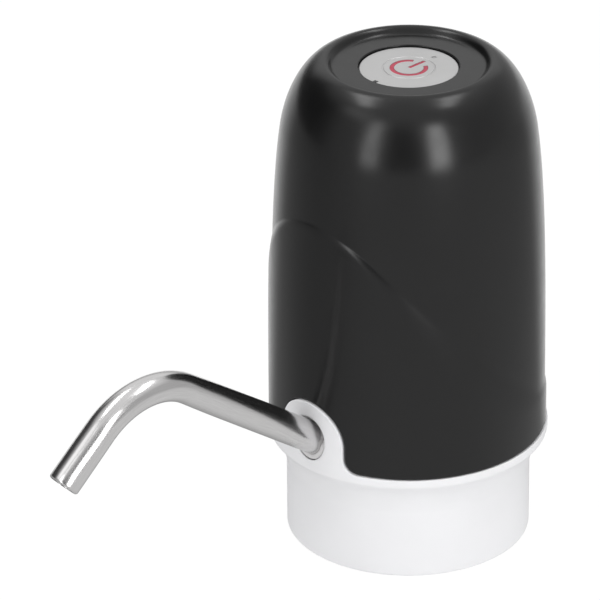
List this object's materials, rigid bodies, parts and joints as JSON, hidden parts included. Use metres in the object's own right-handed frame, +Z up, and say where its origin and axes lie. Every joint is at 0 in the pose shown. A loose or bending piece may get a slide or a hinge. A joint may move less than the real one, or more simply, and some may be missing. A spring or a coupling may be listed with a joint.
{
  "type": "bottled water pump",
  "caption": "Electric pump that stands on a bottle's neck: dark rounded body, push button on top, white neck collar and a bent steel spout.",
  "frame": {"origin": "middle of the deck's underside, the flat face that the mouth of the bottle meets inside the collar", "axes": "+Z up along the body's axis, -X towards the spout, +Y to the left seen from behind the spout"},
  "size_m": [0.1639, 0.075, 0.136],
  "materials": {
    "black_gloss": "smooth semi-gloss dark grey-black",
    "white_plastic": "smooth satin white",
    "silver": "satin silver",
    "spout_steel": "polished stainless steel",
    "red_light": "translucent red",
    "pale_lens": "milky lens",
    "pale_rubber": "soft pale silicone",
    "clear_hose": "milky silicone",
    "black_rubber": "matte black",
    "circuit_board": "green solder mask",
    "black_plastic": "matte black moulding",
    "grey_plastic": "matte grey moulding",
    "pump_plastic": "matte white moulding",
    "brass": "plain",
    "copper": "varnished windings",
    "motor_steel": "zinc plated",
    "screw_steel": "zinc plated",
    "battery_wrap": "plain plastic sleeve",
    "red_lead": "plain insulation",
    "black_lead": "plain insulation"
  },
  "bodies": {
    "housing": {"base_collar": "white_plastic", "top_housing": "black_gloss", "housing_screw_1": "screw_steel", "housing_screw_2": "screw_steel", "housing_screw_3": "screw_steel", "board_screw_1": "screw_steel", "board_screw_2": "screw_steel", "board_screw_3": "screw_steel", "button_board": "circuit_board", "switch_body": "black_plastic", "icon_lamp": "pale_lens", "button_spring": "screw_steel", "control_screw_1": "screw_steel", "control_screw_2": "screw_steel", "control_board": "circuit_board", "charging_port": "screw_steel", "control_chip": "black_plastic", "battery_cell": "battery_wrap", "battery_holder": "black_plastic", "battery_contact_lower": "brass", "battery_contact_upper": "brass", "holder_screw_1": "screw_steel", "holder_screw_2": "screw_steel", "pump_body": "pump_plastic", "pump_cover": "pump_plastic", "idler_pin": "screw_steel", "pump_screw_1": "screw_steel", "pump_screw_2": "screw_steel", "pump_screw_3": "screw_steel", "pump_screw_4": "screw_steel", "pump_mount_screw_1": "screw_steel", "pump_mount_screw_2": "screw_steel", "inlet_grommet": "pale_rubber", "motor_can": "motor_steel", "motor_endcap": "black_plastic", "motor_bearing": "brass", "shaft_seal": "black_rubber", "motor_screw_1": "screw_steel", "motor_screw_2": "screw_steel", "outlet_elbow": "pump_plastic", "outlet_hose": "clear_hose", "battery_lead_plus": "red_lead", "battery_lead_minus": "black_lead", "motor_lead_plus": "red_lead", "motor_lead_minus": "black_lead", "button_ribbon": "black_lead"},
    "button": {"button_cap": "silver", "icon_light_guide": "red_light", "indicator_lens": "pale_lens", "switch_plunger": "grey_plastic"},
    "spout_ring": {"spout_collet": "pale_rubber", "spout_seal": "black_rubber"},
    "spout": {"spout_tube": "spout_steel"},
    "rotor": {"motor_shaft": "screw_steel", "motor_armature": "copper", "drive_gear": "pump_plastic"},
    "idler": {"idler_gear": "pump_plastic"}
  },
  "joints": [
    {"name": "button_press", "type": "slide", "parent": "housing", "child": "button", "axis": [0, 0, -1], "range_m": [0, 0.0008], "stiffness_N_per_m": 300, "springref_m": -0.003, "deforming": ["button_spring"]},
    {"name": "spout_turn", "type": "hinge", "parent": "housing", "child": "spout_ring", "pos_m": [-0.0375, 0, 0.0132], "axis": [-0.8192, 0, 0.5736], "continuous": true},
    {"name": "spout_pull", "type": "slide", "parent": "spout_ring", "child": "spout", "axis": [-0.8192, 0, 0.5736], "range_m": [0, 0.009]},
    {"name": "rotor_spin", "type": "hinge", "parent": "housing", "child": "rotor", "pos_m": [0.009, -0.01559, 0.03], "axis": [0, 0, 1], "continuous": true},
    {"name": "idler_spin", "type": "hinge", "parent": "housing", "child": "idler", "pos_m": [0.009, -0.00579, 0.0115], "axis": [0, 0, 1], "continuous": true}
  ],
  "couplings": [
    {"joint": "idler_spin", "follows": "rotor_spin", "ratio": -1}
  ]
}
